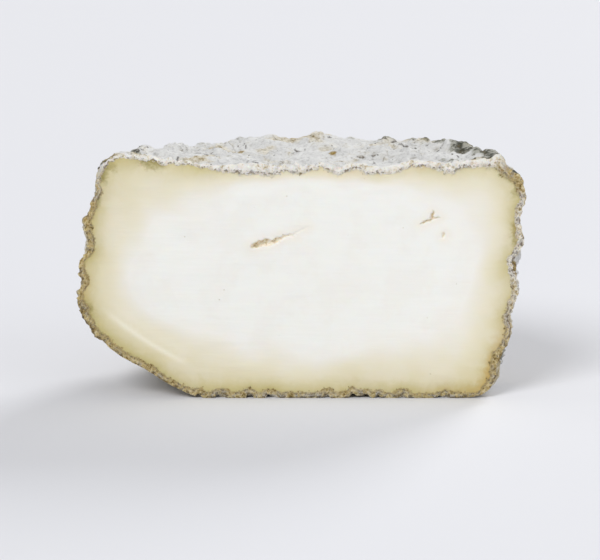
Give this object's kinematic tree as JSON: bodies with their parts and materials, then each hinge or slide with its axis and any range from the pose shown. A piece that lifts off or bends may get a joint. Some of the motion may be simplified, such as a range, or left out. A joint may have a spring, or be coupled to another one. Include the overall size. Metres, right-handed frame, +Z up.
{
  "type": "bonde goat cheese half",
  "caption": "Half of a small mould-ripened goat cheese drum: a wrinkled natural rind round a white paste with a creamy edge, cut square down its height, resting level on its flat base.",
  "frame": {"origin": "the whole drum's axis where it meets the flat base that the cheese rests on", "axes": "+Z up along the drum's axis, +X along the cut face to the right as seen from in front of it, +Y into the cheese, so that the cut face looks along -Y"},
  "size_m": [0.0705, 0.0367, 0.0393],
  "materials": {
    "rind": "dry, wrinkled, mould-ripened rind, matt",
    "paste": "knife-cut goat paste, satin, creamy near the rind"
  },
  "bodies": {
    "root": {"cheese_half": "rind"}
  },
  "joints": []
}
